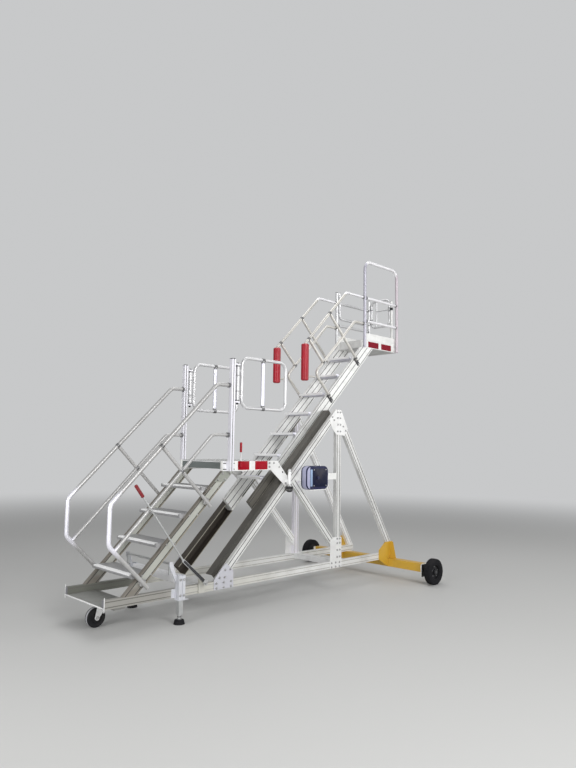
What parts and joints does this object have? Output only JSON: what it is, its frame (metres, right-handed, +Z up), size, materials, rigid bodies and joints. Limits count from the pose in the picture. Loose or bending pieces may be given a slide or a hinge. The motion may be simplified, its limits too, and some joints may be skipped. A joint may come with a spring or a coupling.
{
  "type": "variable height access platform",
  "caption": "Wheeled aluminium access stair: a fixed lower flight and platform, and an upper flight with a railed top deck that slides on an inclined track.",
  "frame": {"origin": "on the floor under the middle of the whole stand's box", "axes": "+X from the front step towards the rear axle, +Y towards the far handrail, +Z up"},
  "size_m": [4.421, 2.138, 4.13],
  "materials": {
    "aluminium": "satin",
    "zinc_tube": "satin",
    "zinc_steel": "satin",
    "dark_steel": "matt",
    "checker_plate": "satin",
    "tread_plate": "satin",
    "yellow_paint": "satin",
    "red_paint": "gloss",
    "blue_paint": "gloss",
    "black_rubber": "matt",
    "grey_rubber": "matt",
    "rim_steel": "satin"
  },
  "bodies": {
    "frame": {"base_rail_near": "aluminium", "base_rail_far": "aluminium", "base_cross_members": "aluminium", "front_step": "checker_plate", "lower_stringer_near": "aluminium", "lower_stringer_far": "aluminium", "lower_treads": "tread_plate", "lower_handrail_near": "zinc_tube", "lower_handrail_far": "zinc_tube", "mid_platform": "aluminium", "mid_posts": "aluminium", "inclined_members": "aluminium", "uprights": "aluminium", "rear_braces": "aluminium", "diagonals": "aluminium", "gussets": "aluminium", "tracks": "aluminium", "guide_bars": "aluminium", "track_lock": "dark_steel", "release_handle": "red_paint", "winch_bar": "aluminium", "winch": "blue_paint", "axle_beam": "yellow_paint", "jack_sleeves": "zinc_steel", "jack_shaft": "zinc_steel", "lever_bracket": "dark_steel"},
    "rear_wheel_near": {"rear_tyre_near": "black_rubber", "rear_rim_near": "rim_steel"},
    "rear_wheel_far": {"rear_tyre_far": "black_rubber", "rear_rim_far": "rim_steel"},
    "caster_swivel": {"caster_fork": "zinc_steel"},
    "caster_roll": {"caster_wheel": "grey_rubber"},
    "jack_handle": {"jack_lever": "zinc_steel", "lever_grip": "red_paint"},
    "jack_near": {"jack_leg_near": "zinc_steel", "jack_pad_near": "black_rubber"},
    "jack_far": {"jack_leg_far": "zinc_steel", "jack_pad_far": "black_rubber"},
    "guard_near": {"mid_guard_near": "zinc_tube"},
    "guard_far": {"mid_guard_far": "zinc_tube"},
    "upper_stair": {"upper_stringer_near": "aluminium", "upper_stringer_far": "aluminium", "slide_shoes": "aluminium", "upper_treads": "tread_plate", "upper_handrail_near": "zinc_tube", "upper_handrail_far": "zinc_tube", "handrail_sleeves": "red_paint", "top_deck": "aluminium", "top_hoop_near": "zinc_tube", "top_guard_far": "zinc_tube"},
    "rear_gate": {"top_gate": "zinc_tube"}
  },
  "joints": [
    {"name": "upper_slide", "type": "slide", "parent": "frame", "child": "upper_stair", "axis": [0.7071, 0, 0.7071], "range_m": [-0.5, 0.35]},
    {"name": "near_wheel", "type": "hinge", "parent": "frame", "child": "rear_wheel_near", "pos_m": [1.8495, -1.029, 0.155], "axis": [0, 1, 0], "continuous": true},
    {"name": "far_wheel", "type": "hinge", "parent": "frame", "child": "rear_wheel_far", "pos_m": [1.8495, 1.029, 0.155], "axis": [0, 1, 0], "continuous": true},
    {"name": "caster_turn", "type": "hinge", "parent": "frame", "child": "caster_swivel", "pos_m": [-2.0155, 0, 0.19], "axis": [0, 0, 1], "continuous": true},
    {"name": "caster_spin", "type": "hinge", "parent": "caster_swivel", "child": "caster_roll", "pos_m": [-2.0705, 0, 0.088], "axis": [0, 1, 0], "continuous": true},
    {"name": "lever_swing", "type": "hinge", "parent": "frame", "child": "jack_handle", "pos_m": [-1.1715, -0.4445, 0.34], "axis": [0, 1, 0], "range_deg": [0, 45]},
    {"name": "jack_lift_near", "type": "slide", "parent": "frame", "child": "jack_near", "axis": [0, 0, 1], "range_m": [0, 0.06]},
    {"name": "jack_lift_far", "type": "slide", "parent": "frame", "child": "jack_far", "axis": [0, 0, 1], "range_m": [0, 0.06]},
    {"name": "near_guard_swing", "type": "hinge", "parent": "frame", "child": "guard_near", "pos_m": [-0.8025, -0.415, 2.3], "axis": [0, 0, 1], "range_deg": [0, 90]},
    {"name": "far_guard_swing", "type": "hinge", "parent": "frame", "child": "guard_far", "pos_m": [-0.8025, 0.415, 2.3], "axis": [0, 0, 1], "range_deg": [-90, 0]},
    {"name": "gate_swing", "type": "hinge", "parent": "upper_stair", "child": "rear_gate", "pos_m": [2.1905, 0.195, 3.54], "axis": [0, 0, 1], "range_deg": [-90, 0]}
  ],
  "couplings": [
    {"joint": "jack_lift_near", "follows": "lever_swing", "m_per_rad": 0.076394},
    {"joint": "jack_lift_far", "follows": "lever_swing", "m_per_rad": 0.076394}
  ]
}
